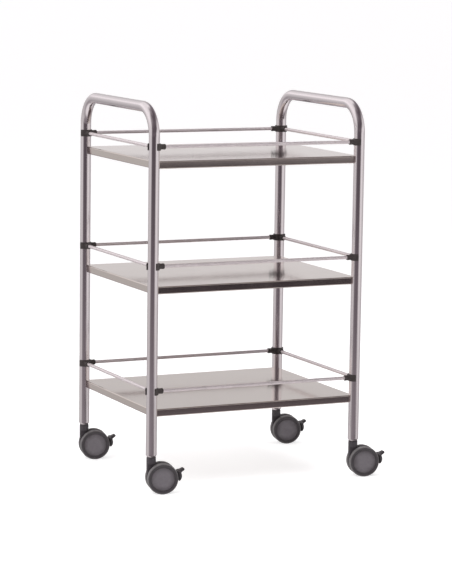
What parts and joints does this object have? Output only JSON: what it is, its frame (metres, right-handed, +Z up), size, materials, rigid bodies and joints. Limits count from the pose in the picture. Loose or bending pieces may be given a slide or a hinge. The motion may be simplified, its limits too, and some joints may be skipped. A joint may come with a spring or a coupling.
{
  "type": "instrument cart",
  "caption": "Rolling instrument cart with stacked flat trays between bent-tube end frames, guard rails on corner connectors and braked twin-wheel casters.",
  "frame": {"origin": "on the floor, in the middle of the footprint of the whole cart with its casters as they stand", "axes": "+Z up, X along the long side of the trays, -Y the front; the casters trail towards +X"},
  "size_m": [0.6145, 0.4658, 0.896],
  "materials": {
    "frame_tube": "satin-polished stainless tube",
    "tray_sheet": "fine-grained bright stainless sheet",
    "bracket_sheet": "mill-finished stainless",
    "rail_rod": "bright-drawn stainless rod",
    "connector_plastic": "moulded black nylon",
    "fastener_steel": "bright zinc-free stainless",
    "plug_alloy": "turned, satin",
    "caster_pin_steel": "turned steel",
    "caster_housing_plastic": "moulded black nylon",
    "brake_pedal_plastic": "moulded black nylon",
    "wheel_plastic": "moulded grey polypropylene",
    "tyre_rubber": "soft dark grey tread"
  },
  "bodies": {
    "frame": {"left_frame": "frame_tube", "right_frame": "frame_tube", "lower_tray": "tray_sheet", "middle_tray": "tray_sheet", "upper_tray": "tray_sheet", "lower_front_rod": "rail_rod", "lower_back_rod": "rail_rod", "lower_left_rod": "rail_rod", "lower_right_rod": "rail_rod", "middle_front_rod": "rail_rod", "middle_back_rod": "rail_rod", "middle_left_rod": "rail_rod", "middle_right_rod": "rail_rod", "upper_front_rod": "rail_rod", "upper_back_rod": "rail_rod", "upper_left_rod": "rail_rod", "upper_right_rod": "rail_rod", "lower_connectors": "connector_plastic", "middle_connectors": "connector_plastic", "upper_connectors": "connector_plastic", "tray_brackets": "bracket_sheet", "tray_bolts": "fastener_steel", "rivet_nuts": "fastener_steel", "tube_plugs": "plug_alloy", "front_left_caster_stem": "caster_pin_steel", "front_right_caster_stem": "caster_pin_steel", "back_left_caster_stem": "caster_pin_steel", "back_right_caster_stem": "caster_pin_steel"},
    "front_left_caster": {"front_left_caster_housing": "caster_housing_plastic", "front_left_caster_axle": "caster_pin_steel", "front_left_caster_brake_pin": "caster_pin_steel"},
    "front_left_caster_front_wheel": {"front_left_caster_front_wheel": "wheel_plastic", "front_left_caster_front_tyre": "tyre_rubber"},
    "front_left_caster_back_wheel": {"front_left_caster_back_wheel": "wheel_plastic", "front_left_caster_back_tyre": "tyre_rubber"},
    "front_left_caster_pedal": {"front_left_caster_brake_pedal": "brake_pedal_plastic"},
    "front_right_caster": {"front_right_caster_housing": "caster_housing_plastic", "front_right_caster_axle": "caster_pin_steel", "front_right_caster_brake_pin": "caster_pin_steel"},
    "front_right_caster_front_wheel": {"front_right_caster_front_wheel": "wheel_plastic", "front_right_caster_front_tyre": "tyre_rubber"},
    "front_right_caster_back_wheel": {"front_right_caster_back_wheel": "wheel_plastic", "front_right_caster_back_tyre": "tyre_rubber"},
    "front_right_caster_pedal": {"front_right_caster_brake_pedal": "brake_pedal_plastic"},
    "back_left_caster": {"back_left_caster_housing": "caster_housing_plastic", "back_left_caster_axle": "caster_pin_steel", "back_left_caster_brake_pin": "caster_pin_steel"},
    "back_left_caster_front_wheel": {"back_left_caster_front_wheel": "wheel_plastic", "back_left_caster_front_tyre": "tyre_rubber"},
    "back_left_caster_back_wheel": {"back_left_caster_back_wheel": "wheel_plastic", "back_left_caster_back_tyre": "tyre_rubber"},
    "back_left_caster_pedal": {"back_left_caster_brake_pedal": "brake_pedal_plastic"},
    "back_right_caster": {"back_right_caster_housing": "caster_housing_plastic", "back_right_caster_axle": "caster_pin_steel", "back_right_caster_brake_pin": "caster_pin_steel"},
    "back_right_caster_front_wheel": {"back_right_caster_front_wheel": "wheel_plastic", "back_right_caster_front_tyre": "tyre_rubber"},
    "back_right_caster_back_wheel": {"back_right_caster_back_wheel": "wheel_plastic", "back_right_caster_back_tyre": "tyre_rubber"},
    "back_right_caster_pedal": {"back_right_caster_brake_pedal": "brake_pedal_plastic"}
  },
  "joints": [
    {"name": "front_left_caster_swivel", "type": "hinge", "parent": "frame", "child": "front_left_caster", "pos_m": [-0.29222, -0.20109, 0.085], "axis": [0, 0, 1], "continuous": true},
    {"name": "front_left_caster_front_wheel_spin", "type": "hinge", "parent": "front_left_caster", "child": "front_left_caster_front_wheel", "pos_m": [-0.26782, -0.2065, 0.036], "axis": [0.2164, 0.9763, 0], "continuous": true},
    {"name": "front_left_caster_back_wheel_spin", "type": "hinge", "parent": "front_left_caster", "child": "front_left_caster_back_wheel", "pos_m": [-0.26782, -0.2065, 0.036], "axis": [0.2164, 0.9763, 0], "continuous": true},
    {"name": "front_left_caster_brake", "type": "hinge", "parent": "front_left_caster", "child": "front_left_caster_pedal", "pos_m": [-0.24243, -0.21213, 0.044], "axis": [0.2164, 0.9763, 0], "range_deg": [0, 10]},
    {"name": "front_right_caster_swivel", "type": "hinge", "parent": "frame", "child": "front_right_caster", "pos_m": [0.22978, -0.20109, 0.085], "axis": [0, 0, 1], "continuous": true},
    {"name": "front_right_caster_front_wheel_spin", "type": "hinge", "parent": "front_right_caster", "child": "front_right_caster_front_wheel", "pos_m": [0.25418, -0.2065, 0.036], "axis": [0.2164, 0.9763, 0], "continuous": true},
    {"name": "front_right_caster_back_wheel_spin", "type": "hinge", "parent": "front_right_caster", "child": "front_right_caster_back_wheel", "pos_m": [0.25418, -0.2065, 0.036], "axis": [0.2164, 0.9763, 0], "continuous": true},
    {"name": "front_right_caster_brake", "type": "hinge", "parent": "front_right_caster", "child": "front_right_caster_pedal", "pos_m": [0.27957, -0.21213, 0.044], "axis": [0.2164, 0.9763, 0], "range_deg": [0, 10]},
    {"name": "back_left_caster_swivel", "type": "hinge", "parent": "frame", "child": "back_left_caster", "pos_m": [-0.29222, 0.21191, 0.085], "axis": [0, 0, 1], "continuous": true},
    {"name": "back_left_caster_front_wheel_spin", "type": "hinge", "parent": "back_left_caster", "child": "back_left_caster_front_wheel", "pos_m": [-0.26782, 0.2065, 0.036], "axis": [0.2164, 0.9763, 0], "continuous": true},
    {"name": "back_left_caster_back_wheel_spin", "type": "hinge", "parent": "back_left_caster", "child": "back_left_caster_back_wheel", "pos_m": [-0.26782, 0.2065, 0.036], "axis": [0.2164, 0.9763, 0], "continuous": true},
    {"name": "back_left_caster_brake", "type": "hinge", "parent": "back_left_caster", "child": "back_left_caster_pedal", "pos_m": [-0.24243, 0.20087, 0.044], "axis": [0.2164, 0.9763, 0], "range_deg": [0, 10]},
    {"name": "back_right_caster_swivel", "type": "hinge", "parent": "frame", "child": "back_right_caster", "pos_m": [0.22978, 0.21191, 0.085], "axis": [0, 0, 1], "continuous": true},
    {"name": "back_right_caster_front_wheel_spin", "type": "hinge", "parent": "back_right_caster", "child": "back_right_caster_front_wheel", "pos_m": [0.25418, 0.2065, 0.036], "axis": [0.2164, 0.9763, 0], "continuous": true},
    {"name": "back_right_caster_back_wheel_spin", "type": "hinge", "parent": "back_right_caster", "child": "back_right_caster_back_wheel", "pos_m": [0.25418, 0.2065, 0.036], "axis": [0.2164, 0.9763, 0], "continuous": true},
    {"name": "back_right_caster_brake", "type": "hinge", "parent": "back_right_caster", "child": "back_right_caster_pedal", "pos_m": [0.27957, 0.20087, 0.044], "axis": [0.2164, 0.9763, 0], "range_deg": [0, 10]}
  ]
}
